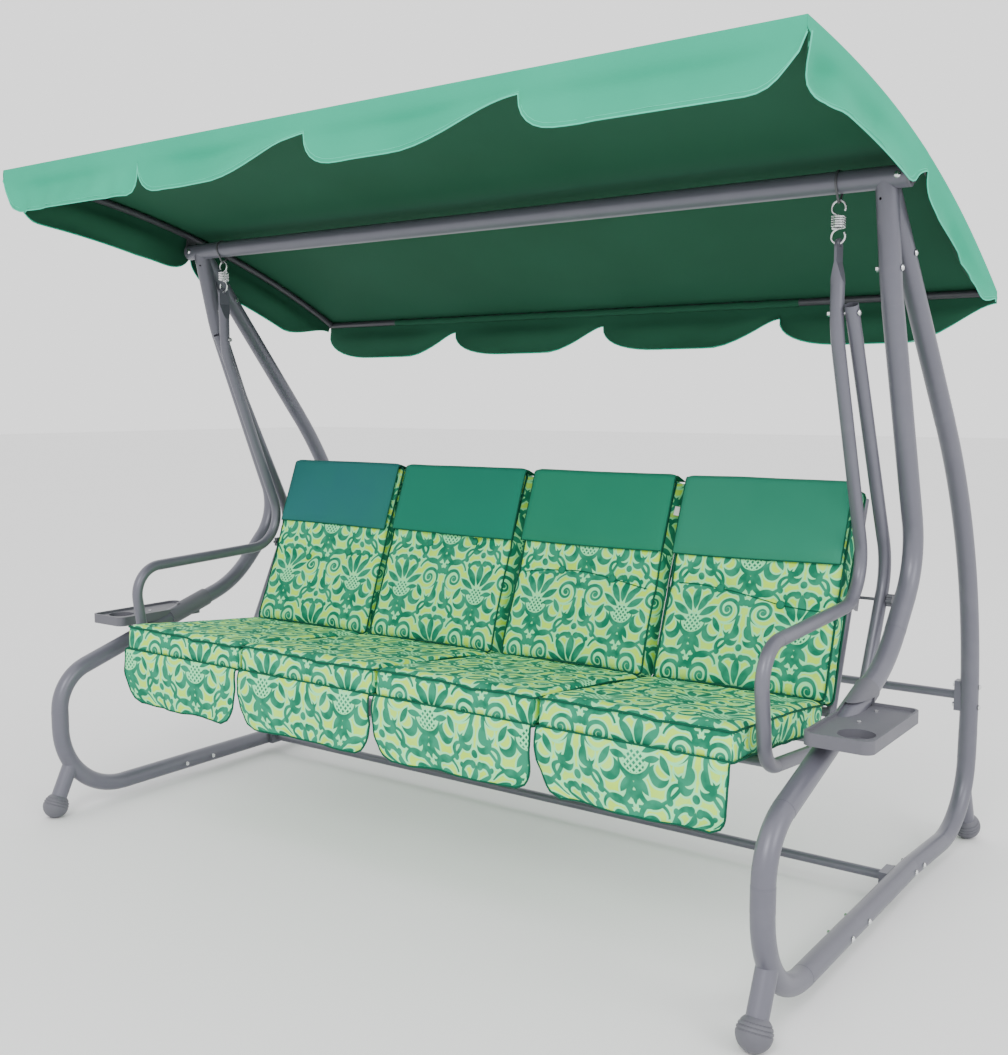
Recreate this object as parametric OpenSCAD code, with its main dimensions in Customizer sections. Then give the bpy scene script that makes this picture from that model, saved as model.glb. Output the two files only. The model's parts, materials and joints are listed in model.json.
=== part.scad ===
// Four-place garden swing bench under a tilting fabric canopy.
// Two bent side frames carry a ridge bar; the bench hangs from it on two springs.
// Its backrest reclines to a flat bed and the canopy tilts about the ridge bar.
// X runs along the bench, the front faces -Y, Z is up, and Z = 0 is the ground.

/* [Side frames] */
// Half the distance between the two side frames
half = 1120; // [1080:5:1160]
// Outer diameter of the side frame tubes and the ridge bar
leg_d = 50; // [46:1:52]
// Wall of the side frame tubes
leg_wall = 1.5; // [1.2:0.1:2.5]
// Height of the ridge bar's axis
ridge_z = 1725; // [1700:5:1750]
// Height of the axis of the bottom tubes
base_z = 51; // [48:1:56]
// How far the rear tubes splay outwards
toe_out = 3.5; // [0:0.5:4]

/* [Feet] */
// Diameter of the ball feet
foot_d = 74; // [68:1:80]
// Height of the flat cut on the underside of each ball
foot_flat = 2; // [1:0.5:4]

/* [Cross bars] */
// Diameter of the lower and rear cross bars
cross_d = 25; // [20:1:28]
// Wall of the cross bars and the seat and backrest tubes
thin_wall = 1.5; // [1.2:0.1:2]

/* [Hangers] */
// Distance of the front hangers from the middle
hanger_x = 1017; // [1015:1:1019]
// Outer diameter of the hanger tubes
hanger_d = 32; // [30:1:32]
// Diameter of the spring wire
wire_d = 5; // [4:0.5:5.5]
// Close turns in each spring
spring_turns = 5; // [4:1:6]

/* [Seat and back] */
// Slope of the seat, down towards the back
seat_slope = 5.65; // [4:0.05:7]
// Lean of the backrest from upright
back_lean = 20.8; // [18:0.1:23]
// Width of one place on the bench
place_w = 495; // [480:1:496]
// Thickness of the seat cushions
seat_thick = 79; // [70:1:80]
// Thickness of the back cushions
back_thick = 65; // [55:1:66]

/* [Canopy] */
// Half the width of the canopy
canopy_half = 1200; // [1199:1:1206]
// Radius of the curve of the canopy from front to rear
canopy_r = 3430; // [3300:10:3600]
// Depth of the valance at the bottom of each scallop
valance = 125; // [100:5:140]
// Depth of the valance at the notch between two scallops
notch = 65; // [50:5:80]
// Thickness of the canopy solid
cloth = 6; // [4:1:8]

/* [Hidden] */
$fn = 64;
eps = 0.01;
clear = 0.05;           // running fit of a pin in its hole, on the radius
lap = 0.5;              // how far a straight length of tube runs into its bends
neck = 0.016;           // the share of its diameter that a tube loses in a bend
step = 0.02;            // how far a tangent strip stays inside the curves that it joins
ridge_y = -93;          // puts the overall box on Y = 0
spring_x = 1015;
hook_w = 5;
hook_drop = 36;         // ridge axis to the centre of the hook's lower bend
hook_t = 3;
swing_z = ridge_z - hook_drop - 6 + wire_d / 2 + 0.8;
loop_r = 16;            // centre line of the spring's end loops
coil_r = 14;
coil_len = 2 * 47.5 - 4 * loop_r;
plate_hole = 12;

joint_y = 350;          // where the front and rear tubes of a side meet at the bottom

// Bends of the tubes, each as [y, z, bend radius] from the ridge's axis and the ground
FRONT_LEG = [[0, ridge_z, 0], [60, 1480, 300], [314, 850, 170], [105, 628, 350],
             [-585, 414, 130], [-585, base_z, 215], [joint_y, base_z, 0]];
REAR_LEG = [[joint_y, base_z, 0], [765, base_z, 190], [765, 811, 1350], [0, ridge_z, 0]];
seat_front = [-345, 468];
side_len = 505;
seat_end = seat_front + side_len * [cos(seat_slope), -sin(seat_slope)];
FRONT_HANGER = [[0, 1500, 0], [0, 1400, 250], [263, 755, 110], [-385, 731, 85],
                [seat_front[0], seat_front[1], 70], [seat_end[0], seat_end[1], 0]];
REAR_HANGER = [[0, 1455, 0], [310, 830, 150], [104, 407, 0]];
rear_hanger_x = hanger_x + hanger_d + 1;
head_len = 226;         // the part of each leg that belongs to the head socket

hinge_u = 478;          // backrest hinge, along the seat's side rail
hinge = seat_front + hinge_u * [cos(seat_slope), -sin(seat_slope)];
hinge_pin_d = 10;
back_x = 975;
back_len = 610;
knob_yz = [271, 750];
front_rail_u = 72;
rear_rail_u = 430;
rail_end = hanger_x - hanger_d / 2;
lower_bar_yz = [263, base_z];
rear_bar_z = 420;

rail_d = 20;
canopy_front = [-650, 1900];
canopy_rear = [685, 1532];
canopy_c = arc_centre(canopy_front, canopy_rear, canopy_r);
rail_x = 1178;
bar_half = 1168;
arm_x = bar_half + 7;     // inner face of the canopy's pivot arms
arm_t = 5;
pivot_d = 10;

tray_in = 1103;
tray_out = 1250;
tray_front = -372;
tray_rear = -48;
tray_top = 570;
tray_t = 28;
cup = [1194, -300];
cup_r = 38.5;

// ---- Geometry helpers ----

function unit(v) = v / norm(v);
function flat2(p) = [p[0], p[1]];
function turn_of(a, b, c) = acos(max(-1, min(1, unit(b - a) * unit(c - b))));
// How far before and after a bend its arc starts
function setback(pts, i) = i == 0 || i == len(pts) - 1 ? 0 :
    pts[i][2] * tan(turn_of(flat2(pts[i - 1]), flat2(pts[i]), flat2(pts[i + 1])) / 2);
function arc_centre(a, b, r) = let (m = (a + b) / 2, h = norm(b - a) / 2, d = unit(b - a))
    m + sqrt(r * r - h * h) * [d[1], -d[0]];
function on_arc(c, r, y) = c[1] + sqrt(r * r - pow(y - c[0], 2));
// A point of the rear leg moved out sideways by the splay
function splay(y, z) = sin(toe_out) * abs(y * (ridge_z - base_z) - (ridge_z - z) * joint_y)
    / norm([joint_y, ridge_z - base_z]);

module at_ridge() translate([0, ridge_y, 0]) children();
module side(s) mirror([s < 0 ? 1 : 0, 0, 0]) children();
module pair() { children(); mirror([1, 0, 0]) children(); }

// Turns the YZ plane of a side frame's rear half outwards about the line of its two joints
module splayed() translate([half, 0, ridge_z]) rotate(a = toe_out, v = [0, joint_y, base_z - ridge_z])
    translate([-half, 0, -ridge_z]) children();

// A disc, or a ring where a wall is given
module ring2(d, wall) difference() {
    circle(d = d);
    if (wall > 0) circle(d = d - 2 * wall);
}

// A straight tube in the YZ plane at a given x
module rod(x, a, b, d, wall = 0) let (v = b - a) translate([x, a[0], a[1]])
    rotate([-atan2(v[0], v[1]), 0, 0]) linear_extrude(norm(v)) ring2(d, wall);

// The arc of one bend in the YZ plane, a little slimmer than the straight, as a bent tube is
module bend(x, a, b, c, r, d, wall) {
    u = unit(b - a);
    w = unit(c - b);
    turn = turn_of(a, b, c);
    o = b + unit(w - u) * r / cos(turn / 2);
    from = u[0] * w[1] - u[1] * w[0] > 0 ? b - u * r * tan(turn / 2) : b + w * r * tan(turn / 2);
    translate([x, o[0], o[1]]) rotate([90, 0, 90])
        rotate([0, 0, atan2(from[1] - o[1], from[0] - o[0])])
            rotate_extrude(angle = turn) translate([r, 0])
                ring2(d * (1 - neck), wall);
}

// A tube bent through a list of [y, z, bend radius]
module bent(x, pts, d, wall = 0, trim_start = 0, trim_end = 0) {
    n = len(pts);
    for (i = [0 : n - 2]) {
        a = flat2(pts[i]);
        b = flat2(pts[i + 1]);
        u = unit(b - a);
        rod(x, a + u * (i == 0 ? trim_start : setback(pts, i) - lap),
            b - u * (i == n - 2 ? trim_end : setback(pts, i + 1) - lap), d, wall);
    }
    for (i = [1 : n - 2])
        bend(x, flat2(pts[i - 1]), flat2(pts[i]), flat2(pts[i + 1]), pts[i][2], d, wall);
}

module along_x(x, y, z, len, d, wall = 0) translate([x, y, z]) rotate([0, 90, 0])
    linear_extrude(len) ring2(d, wall);

// A domed bolt head on the end of its shank, pointing along +X
module domed_bolt(d = 8, head = 15, len = 10) {
    rotate([0, 90, 0]) cylinder(d = d, h = len);
    translate([len, 0, 0]) rotate([0, 90, 0]) intersection() {
        cylinder(d = head, h = head / 3);
        translate([0, 0, -head * 0.3]) sphere(d = head * 1.25);
    }
}

// Seat frame: u runs back along the side rails, w is square to the seat
module seat_plane() translate([0, seat_front[0], seat_front[1]]) rotate([-seat_slope, 0, 0])
    children();

// Backrest: local Z runs up the back from the hinge, local Y out behind it
module back_plane() translate([0, hinge[0], hinge[1]]) rotate([-back_lean, 0, 0]) children();

// A pad with rounded edges, w wide about its middle and its section in the YZ plane
module pad(w, y0, z0, y1, z1, r) translate([-w / 2, 0, 0]) rotate([90, 0, 90]) linear_extrude(w) {
    translate([y0 + r, z0]) square([y1 - y0 - 2 * r, z1 - z0]);
    translate([y0, z0 + r]) square([y1 - y0, z1 - z0 - 2 * r]);
    for (y = [y0 + r, y1 - r], z = [z0 + r, z1 - r]) translate([y, z]) circle(r);
}

// Middle of place i, counted 1 to 4 from the left
function place_x(i) = (i - 2.5) * place_w;

// ---- Side frames ----

foot_front = [-611, foot_d / 2 - foot_flat];
foot_rear = [799, foot_d / 2 - foot_flat];
stub_front = [-553, 154];
stub_rear = [742, 152];

module front_stub(d, wall = 0) rod(half, foot_front, stub_front, d, wall);
module rear_stub(d, wall = 0) rod(half + splay(foot_rear[0], foot_rear[1]), foot_rear, stub_rear,
                                  d, wall);

module front_tube(d, wall = 0) bent(half, FRONT_LEG, d, wall, trim_start = head_len);
module rear_tube(d, wall = 0) splayed() bent(half, REAR_LEG, d, wall, trim_end = head_len);

// The narrowed end of a leg that slides up inside the head socket
module spigot(leg) let (a = flat2(leg[0]), u = unit(flat2(leg[1]) - a)) {
    rod(half, a + u * (head_len - 60), a + u * (head_len + 2), leg_d - 2 * leg_wall - 2 * clear,
        leg_wall);
    rod(half, a + u * (head_len + 1), a + u * (head_len + 5), leg_d - leg_wall, 2.5 * leg_wall);
}

module frame_front() color("slategray") at_ridge() {
    difference() {
        front_tube(leg_d, leg_wall);
        front_bolt_holes();
    }
    difference() {
        spigot(FRONT_LEG);
        head_bolt_holes();
    }
    difference() {
        front_stub(leg_d - 4, leg_wall);
        front_tube(leg_d);
        foot_ball(half, foot_front, stub_front);
    }
}
module frame_front_left() side(-1) frame_front();
module frame_front_right() side(1) frame_front();

module frame_rear() color("slategray") at_ridge() {
    difference() {
        rear_tube(leg_d, leg_wall);
        rear_bolt_holes();
        // Square end that meets the front tube
        translate([half - leg_d, joint_y - leg_d + clear, base_z - leg_d])
            cube([2 * leg_d, leg_d, 2 * leg_d]);
    }
    difference() {
        splayed() spigot([[0, ridge_z], flat2(REAR_LEG[2])]);
        head_bolt_holes();
    }
    difference() {
        rear_stub(leg_d - 4, leg_wall);
        rear_tube(leg_d);
        foot_ball(half + splay(foot_rear[0], foot_rear[1]), foot_rear, stub_rear);
    }
}
module frame_rear_left() side(-1) frame_rear();
module frame_rear_right() side(1) frame_rear();

// Both short tubes under the ridge bar, welded to a V that the legs slide into
module head_socket() color("slategray") at_ridge() difference() {
    union() {
        head_tube(FRONT_LEG, leg_d);
        splayed() head_tube([[0, ridge_z], flat2(REAR_LEG[2])], leg_d);
    }
    head_tube(FRONT_LEG, leg_d - 2 * leg_wall);
    splayed() head_tube([[0, ridge_z], flat2(REAR_LEG[2])], leg_d - 2 * leg_wall);
    along_x(half - 60, 0, ridge_z, 120, leg_d + 2 * clear);
    head_bolt_holes();
    // Drain hole in the front of the socket
    translate([half - 8, 0, ridge_z - 46]) rotate([90, 0, 0]) cylinder(d = 6, h = 60);
}
module head_tube(leg, d) let (a = flat2(leg[0]), u = unit(flat2(leg[1]) - a))
    rod(half, a, a + u * head_len, d);
module head_socket_left() side(-1) head_socket();
module head_socket_right() side(1) head_socket();

module ridge_bar() color("slategray") at_ridge() difference() {
    along_x(-bar_half, 0, ridge_z, 2 * bar_half, leg_d, leg_wall);
    pair() translate([bar_bolt_x, 0, ridge_z]) rotate([90, 0, 0])
        cylinder(d = bolt_d + 0.2, h = 80, center = true);
}
module ridge_end_caps() color("dimgray") at_ridge() pair() difference() {
    union() {
        along_x(bar_half, 0, ridge_z, 6, leg_d);
        along_x(bar_half - 8, 0, ridge_z, 8 + eps, leg_d - 2 * leg_wall - 0.2);
    }
    along_x(bar_half - 20, 0, ridge_z, 40, pivot_d);
}

// Shoulder bolts in the ends of the ridge bar, on which the canopy's arms turn
module canopy_pivot_bolts() color("gainsboro") at_ridge() pair() {
    along_x(bar_half - 8, 0, ridge_z, arm_x + arm_t + 0.6 - bar_half + 8, pivot_d);
    along_x(arm_x + arm_t + 0.5, 0, ridge_z, 6, 17);
}

// ---- Feet ----

module foot_ball(x, ball, stub) let (v = stub - ball) translate([x, ball[0], ball[1]])
    rotate([-atan2(v[0], v[1]), 0, 0]) difference() {
        sphere(d = foot_d);
        for (h = [2, 10, 18]) translate([0, 0, h]) rotate_extrude()
            translate([sqrt(pow(foot_d / 2, 2) - h * h), 0]) circle(r = 1.6, $fn = 24);
    }
module foot(x, ball, stub) color("dimgray") at_ridge() intersection() {
    foot_ball(x, ball, stub);
    translate([x - foot_d, ball[0] - foot_d, 0]) cube([2 * foot_d, 2 * foot_d, 2 * foot_d]);
}
module foot_front_left() side(-1) foot(half, foot_front, stub_front);
module foot_front_right() side(1) foot(half, foot_front, stub_front);
module foot_rear_left() side(-1) foot(half + splay(foot_rear[0], foot_rear[1]), foot_rear,
                                      stub_rear);
module foot_rear_right() side(1) foot(half + splay(foot_rear[0], foot_rear[1]), foot_rear,
                                      stub_rear);

// ---- Cross bars ----

// The rear leg's centre at the height of the rear bar
rear_bar_y = 765 - 1350 + sqrt(pow(1350, 2) - pow(rear_bar_z - 320, 2));
rear_bar_x = half + splay(rear_bar_y, rear_bar_z);

module lower_crossbar() color("dimgray") at_ridge() {
    difference() {
        along_x(-half, lower_bar_yz[0], lower_bar_yz[1], 2 * half, cross_d, thin_wall);
        pair() front_tube(leg_d);
    }
    // Saddles that hug the bottom tubes
    pair() difference() {
        translate([half - 40, lower_bar_yz[0] - 32, base_z - 18]) cube([22, 64, 36]);
        front_tube(leg_d);
        along_x(-half, lower_bar_yz[0], lower_bar_yz[1], 2 * half, cross_d - 2 * thin_wall);
    }
}

module rear_crossbar() color("slategray") at_ridge() {
    difference() {
        along_x(-rear_bar_x, rear_bar_y, rear_bar_z, 2 * rear_bar_x, cross_d, thin_wall);
        pair() rear_tube(leg_d);
    }
    pair() difference() {
        translate([rear_bar_x - 38, rear_bar_y - 16, rear_bar_z - 42]) cube([20, 32, 84]);
        rear_tube(leg_d);
        rear_bolt_holes();
        along_x(0, rear_bar_y, rear_bar_z, rear_bar_x, cross_d - 2 * thin_wall);
    }
}

// Plugs inside the bottom tubes where the front and rear halves meet
module joint_plugs() color("dimgray") at_ridge() pair() difference() {
    rod(half, [joint_y - 45, base_z], [joint_y + 55, base_z], 40, 3);
    bottom_bolt_holes();
}

// ---- Bolts of the frame ----

REAR_BOLT_Z = [rear_bar_z - 29, rear_bar_z + 29];
BOTTOM_BOLT_Y = [-140, -30, joint_y - 25, joint_y + 35];
head_bolt_s = head_len - 30;
bar_bolt_x = 1151;
bolt_d = 8;

// Puts children at a distance s down the front or the rear tube of a head socket
module down_front(s) let (u = unit(flat2(FRONT_LEG[1]) - flat2(FRONT_LEG[0])))
    translate([half, u[0] * s, ridge_z + u[1] * s]) children();
module down_rear(s) let (u = unit(flat2(REAR_LEG[2]) - [0, ridge_z]))
    splayed() translate([half, u[0] * s, ridge_z + u[1] * s]) children();
module head_bolt_holes() {
    down_front(head_bolt_s) along_x(-60, 0, 0, 120, bolt_d + 0.2);
    down_rear(head_bolt_s) along_x(-60, 0, 0, 120, bolt_d + 0.2);
}

module bolt_row_bottom(d, len) for (y = BOTTOM_BOLT_Y) along_x(half - len / 2, y, base_z, len, d);
module bottom_bolt_holes() bolt_row_bottom(bolt_d + 0.2, 120);
module front_bolt_holes() {
    bottom_bolt_holes();
    head_bolt_holes();
}
module rear_bolt_holes() {
    head_bolt_holes();
    for (z = REAR_BOLT_Z) along_x(rear_bar_x - 60, rear_bar_y, z, 120, bolt_d + 0.2);
    bottom_bolt_holes();
}

// One through bolt along X: a domed head outside and a nut inside
module through_bolt(x, y, z, reach_out, reach_in) translate([x, y, z]) {
    translate([-reach_in, 0, 0]) domed_bolt(bolt_d, 15, reach_in + reach_out);
    translate([-reach_in - 6, 0, 0]) rotate([0, 90, 0]) cylinder(d = 14, h = 6, $fn = 6);
}
module frame_bolts() color("gainsboro") at_ridge() pair() {
    for (y = BOTTOM_BOLT_Y) through_bolt(half + (y > joint_y ? splay(y, base_z) : 0), y, base_z, leg_d / 2 + 1, leg_d / 2 + 1);
    for (z = REAR_BOLT_Z) through_bolt(rear_bar_x, rear_bar_y, z, leg_d / 2 + 1, 39);
    down_front(head_bolt_s) through_bolt(0, 0, 0, leg_d / 2 + 1, leg_d / 2 + 1);
    down_rear(head_bolt_s) through_bolt(0, 0, 0, leg_d / 2 + 1, leg_d / 2 + 1);
    translate([bar_bolt_x, 0, ridge_z]) rotate([0, 0, -90])
        through_bolt(0, 0, 0, leg_d / 2 + 0.5, leg_d / 2 + 0.5);
}

// ---- Trays ----

module tray_outline(inset, r) translate([tray_in + inset + r, tray_front + inset + r])
    let (w = tray_out - tray_in - 2 * (inset + r), l = tray_rear - tray_front - 2 * (inset + r)) {
        translate([-r, 0]) square([w + 2 * r, l]);
        translate([0, -r]) square([w, l + 2 * r]);
        for (x = [0, w], y = [0, l]) translate([x, y]) circle(r);
    }
module tray() color("dimgray") at_ridge() difference() {
    union() {
        translate([0, 0, tray_top - tray_t]) linear_extrude(tray_t) tray_outline(0, 22);
        // Boss that grips the frame tube
        rod(half, [-175, 541.7], [-20, 589.8], leg_d + 8);
    }
    translate([0, 0, tray_top - 7]) linear_extrude(20) tray_outline(6, 17);
    translate([0, 0, tray_top - tray_t - 20]) linear_extrude(tray_t + 20 - 12) tray_outline(3, 19);
    translate([cup[0], cup[1], tray_top - 24]) cylinder(r = cup_r, h = 40);
    front_tube(leg_d);
}
module tray_well() at_ridge() difference() {
    translate([cup[0], cup[1], tray_top - tray_t]) cylinder(r = cup_r + 3, h = tray_t - 8);
    translate([cup[0], cup[1], tray_top - 24]) cylinder(r = cup_r, h = 40);
}
module tray_whole() color("dimgray") { tray(); tray_well(); }
module tray_left() side(-1) tray_whole();
module tray_right() side(1) tray_whole();

module tray_screws() color("gainsboro") at_ridge() pair()
    for (y = [-210, -100]) translate([1168, y, tray_top - 7]) cylinder(d = 9, h = 3);

// ---- Spring hooks on the ridge bar ----

// Cylinders of radius a and b, one hook_drop below the other, joined along their tangents
module drop(a, b, h) let (t = asin((a - b) / hook_drop), edge = step * [cos(t), -sin(t)],
                          p = a * [cos(t), -sin(t)] - edge,
                          q = b * [cos(t), -sin(t)] - [0, hook_drop] - edge) {
    cylinder(r = a, h = h);
    translate([0, -hook_drop, 0]) cylinder(r = b, h = h);
    linear_extrude(h) polygon([p, q, [-q[0], q[1]], [-p[0], p[1]]]);
}
module spring_hook() color("dimgray") at_ridge() translate([spring_x - hook_w / 2, 0, ridge_z])
    rotate([90, 0, 90]) difference() {
        drop(leg_d / 2 + hook_t, 6 + hook_t, hook_w);
        translate([0, 0, -1]) drop(leg_d / 2, 6, hook_w + 2);
    }
module spring_hook_left() side(-1) spring_hook();
module spring_hook_right() side(1) spring_hook();

// ---- Springs ----

// Centre line from the top loop, through the coil, to the bottom loop
loop_top = swing_z - loop_r;
coil_top = loop_top - loop_r;
loop_low = coil_top - coil_len - loop_r;
SPRING = concat(
    [for (a = [230 : -20 : -70]) [-loop_r * cos(a - 20), 0, loop_top + loop_r * sin(a - 20)]],
    [for (a = [0 : 20 : 360 * spring_turns]) [-coil_r * cos(a), -coil_r * sin(a),
        coil_top - wire_d / 2 - (coil_len - wire_d) * a / (360 * spring_turns)]],
    [for (a = [-70 : 20 : 230]) [-loop_r * cos(a - 20), 0, loop_low - loop_r * sin(a - 20)]]);
sides = 10;

// A closed tube swept along points, with its rings square to the path
module sweep(path, d) {
    n = len(path);
    rings = [for (i = [0 : n - 1])
        let (t = unit(path[min(i + 1, n - 1)] - path[max(i - 1, 0)]),
             e = abs(t[1]) < 0.9 ? [0, 1, 0] : [0, 0, 1],
             p = unit(cross(t, e)), q = cross(t, p))
        for (k = [0 : sides - 1]) path[i] + d / 2 * (p * cos(360 * k / sides)
                                                     + q * sin(360 * k / sides))];
    walls = [for (i = [0 : n - 2], k = [0 : sides - 1]) let (m = (k + 1) % sides)
        [i * sides + k, (i + 1) * sides + k, (i + 1) * sides + m, i * sides + m]];
    polyhedron(rings, concat([[for (k = [0 : sides - 1]) k]], walls,
        [[for (k = [sides - 1 : -1 : 0]) (n - 1) * sides + k]]), convexity = 10);
}
module spring() color("silver") at_ridge() translate([spring_x, 0, 0]) sweep(SPRING, wire_d);
module spring_left() side(-1) spring();
module spring_right() side(1) spring();

// ---- Hangers ----

plate_top = 1603;
plate_z = loop_low - loop_r - (plate_hole / 2 - wire_d / 2 - 1);

module hanger_front() color("slategray") at_ridge() {
    difference() {
        union() {
            bent(hanger_x, FRONT_HANGER, hanger_d, thin_wall);
            // Tube end pressed flat to hang on the spring
            translate([hanger_x - 3, -20, 1549]) cube([6, 40, plate_top - 1549 - 20]);
            translate([hanger_x - 3, 0, plate_top - 20]) rotate([0, 90, 0]) cylinder(d = 40, h = 6);
            intersection() {
                translate([hanger_x, 0, 1498]) cylinder(r1 = hanger_d / 2 - 0.1, r2 = 20, h = 52);
                translate([hanger_x, 25, 1498]) rotate([90, 0, 0]) linear_extrude(50)
                    polygon([[-17, 0], [17, 0], [3, 52], [-3, 52]]);
            }
        }
        along_x(hanger_x - 10, 0, plate_z, 20, plate_hole);
        hanger_holes();
        along_x(hanger_x - 30, hinge[0], hinge[1], 60, hinge_pin_d);
    }
}
module hanger_front_left() side(-1) hanger_front();
module hanger_front_right() side(1) hanger_front();

module hanger_rear() color("slategray") at_ridge() difference() {
    bent(rear_hanger_x, REAR_HANGER, hanger_d, thin_wall);
    hanger_holes();
    along_x(rear_hanger_x - 30, knob_yz[0], knob_yz[1], 60, bolt_d + 2 * clear);
}
module hanger_rear_left() side(-1) hanger_rear();
module hanger_rear_right() side(1) hanger_rear();

// Where the two hangers of a side are bolted together
HANGER_BOLTS = [[5, 1437], [112, 423]];
module hanger_holes() for (p = HANGER_BOLTS) along_x(hanger_x - 40, p[0], p[1], 130, bolt_d);
module hanger_bolts() color("gainsboro") at_ridge() pair() for (p = HANGER_BOLTS)
    through_bolt(hanger_x + 16.5, p[0], p[1], hanger_d + 1, hanger_d + 1);

// ---- Seat ----

module seat_rail(u) color("slategray") at_ridge() seat_plane() difference() {
    along_x(-hanger_x, u, 0, 2 * hanger_x, cross_d, thin_wall);
    pair() translate([hanger_x, u - 60, 0]) rotate([-90, 0, 0]) cylinder(d = hanger_d, h = 120);
}
module seat_front_rail() seat_rail(front_rail_u);
module seat_rear_rail() seat_rail(rear_rail_u);

module seat_straps() color("dimgray") at_ridge() seat_plane() for (i = [1 : 4], k = [-1 : 1])
    translate([place_x(i) + k * 160 - 20, front_rail_u - 10, cross_d / 2])
        cube([40, rear_rail_u - front_rail_u + 20, 2]);

seat_low = cross_d / 2 + 2.3;
module seat_cushion(i) color("darkseagreen") at_ridge() seat_plane() translate([place_x(i), 0, 0])
    pad(place_w - 1, -105, seat_low, 420, seat_low + seat_thick, 14);
module seat_cushion_1() seat_cushion(1);
module seat_cushion_2() seat_cushion(2);
module seat_cushion_3() seat_cushion(3);
module seat_cushion_4() seat_cushion(4);

// Skirts that hang below the front edge of the seat
flap_h = 145;
flap_top = 492;
module seat_flap(i) color("darkseagreen") at_ridge()
    translate([place_x(i), -446, flap_top]) rotate([90, 0, 0]) linear_extrude(8) {
        translate([-place_w / 2 + 8, -flap_h + 60]) square([place_w - 16, flap_h - 60]);
        translate([-place_w / 2 + 68, -flap_h]) square([place_w - 136, flap_h]);
        for (s = [-1, 1]) translate([s * (place_w / 2 - 68), -flap_h + 60]) circle(60);
    }
module seat_flap_1() seat_flap(1);
module seat_flap_2() seat_flap(2);
module seat_flap_3() seat_flap(3);
module seat_flap_4() seat_flap(4);

// ---- Backrest ----

module backrest_frame() color("slategray") at_ridge() back_plane() {
    difference() {
        union() {
            pair() translate([back_x, 0, -18]) cylinder(d = cross_d, h = back_len + 18);
            for (h = [60, back_len]) along_x(-back_x, 0, h, 2 * back_x, cross_d);
        }
        pair() translate([back_x, 0, -20]) cylinder(d = cross_d - 2 * thin_wall, h = back_len + 18);
        for (h = [60, back_len]) along_x(-back_x, 0, h, 2 * back_x, cross_d - 2 * thin_wall);
        along_x(-back_x - 30, 0, 0, 2 * back_x + 60, hinge_pin_d + 2 * clear);
    }
    // Lugs that the star knobs press on
    pair() translate([back_x + cross_d / 2 - 2, -12, 325]) cube([6, 44, 60]);
}
module backrest_hinge_pins() color("gainsboro") at_ridge() pair()
    along_x(back_x - 16, hinge[0], hinge[1], hanger_x + 16 - back_x + 16, hinge_pin_d);
module backrest_straps() color("dimgray") at_ridge() back_plane() for (i = [1 : 4], k = [-1 : 1])
    translate([place_x(i) + k * 160 - 20, -cross_d / 2 - 2, 52])
        cube([40, 2, back_len - 44]);

back_face = -cross_d / 2 - 2.3;
module back_cushion(i) color("darkseagreen") at_ridge() back_plane() translate([place_x(i), 0, 0])
    pad(place_w - 1, back_face - back_thick, 77, back_face, 621, 14);
module back_cushion_1() back_cushion(1);
module back_cushion_2() back_cushion(2);
module back_cushion_3() back_cushion(3);
module back_cushion_4() back_cushion(4);

// Flat pads that hang over the top of each back cushion
head_front = back_face - back_thick - 0.5;
module headrest(i) color("seagreen") at_ridge() back_plane() translate([place_x(i), 0, 0]) {
    translate([-place_w / 2 + 4, head_front - 18, 412]) cube([place_w - 8, 18, 224]);
    translate([-place_w / 2 + 4, head_front - 18, 621.5]) cube([place_w - 8, 70, 14.5]);
}
module headrest_1() headrest(1);
module headrest_2() headrest(2);
module headrest_3() headrest(3);
module headrest_4() headrest(4);

// ---- Star knobs ----

module knob() color("dimgray") at_ridge() translate([0, knob_yz[0], knob_yz[1]])
    rotate([90, 0, 90]) {
        translate([0, 0, rear_hanger_x + hanger_d / 2 + 1]) linear_extrude(14) {
            circle(12);
            for (a = [0 : 60 : 300]) rotate(a) translate([12, 0]) circle(4.5);
        }
        translate([0, 0, back_x + cross_d / 2 + 5]) cylinder(d = bolt_d,
            h = rear_hanger_x + hanger_d / 2 + 2 - back_x - cross_d / 2 - 5);
    }
module knob_left() side(-1) knob();
module knob_right() side(1) knob();

// ---- Canopy ----

rail_r = canopy_r - cloth - rail_d / 2 - 0.3;
front_rail_y = canopy_front[0] + cloth + rail_d / 2 + 0.3;
rear_rail_y = canopy_rear[0] - cloth - rail_d / 2 - 0.3;

// Angle on the canopy's curve at a given y, and a 2-D frame with Y to the right and Z up
function arc_a(r, y) = acos((y - canopy_c[0]) / r);
module yz_slab(x, w) translate([x, 0, 0]) rotate([90, 0, 90]) linear_extrude(w) children();

module canopy_side_rails() color("slategray") at_ridge()
    let (end = asin((rail_d / 2 + clear) / rail_r), a = arc_a(rail_r, rear_rail_y) + end,
         b = arc_a(rail_r, front_rail_y) - end)
        pair() translate([rail_x, canopy_c[0], canopy_c[1]]) rotate([90, 0, 90]) rotate([0, 0, a])
            rotate_extrude(angle = b - a, $fn = 96) translate([rail_r, 0]) ring2(rail_d, 1.2);
module canopy_cross(y, wall) along_x(-rail_x - rail_d / 2, y, on_arc(canopy_c, rail_r, y),
                                     2 * rail_x + rail_d, rail_d, wall);
module canopy_front_rail() color("slategray") at_ridge() canopy_cross(front_rail_y, 1.2);
module canopy_rear_rail() color("slategray") at_ridge() canopy_cross(rear_rail_y, 1.2);

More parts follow.
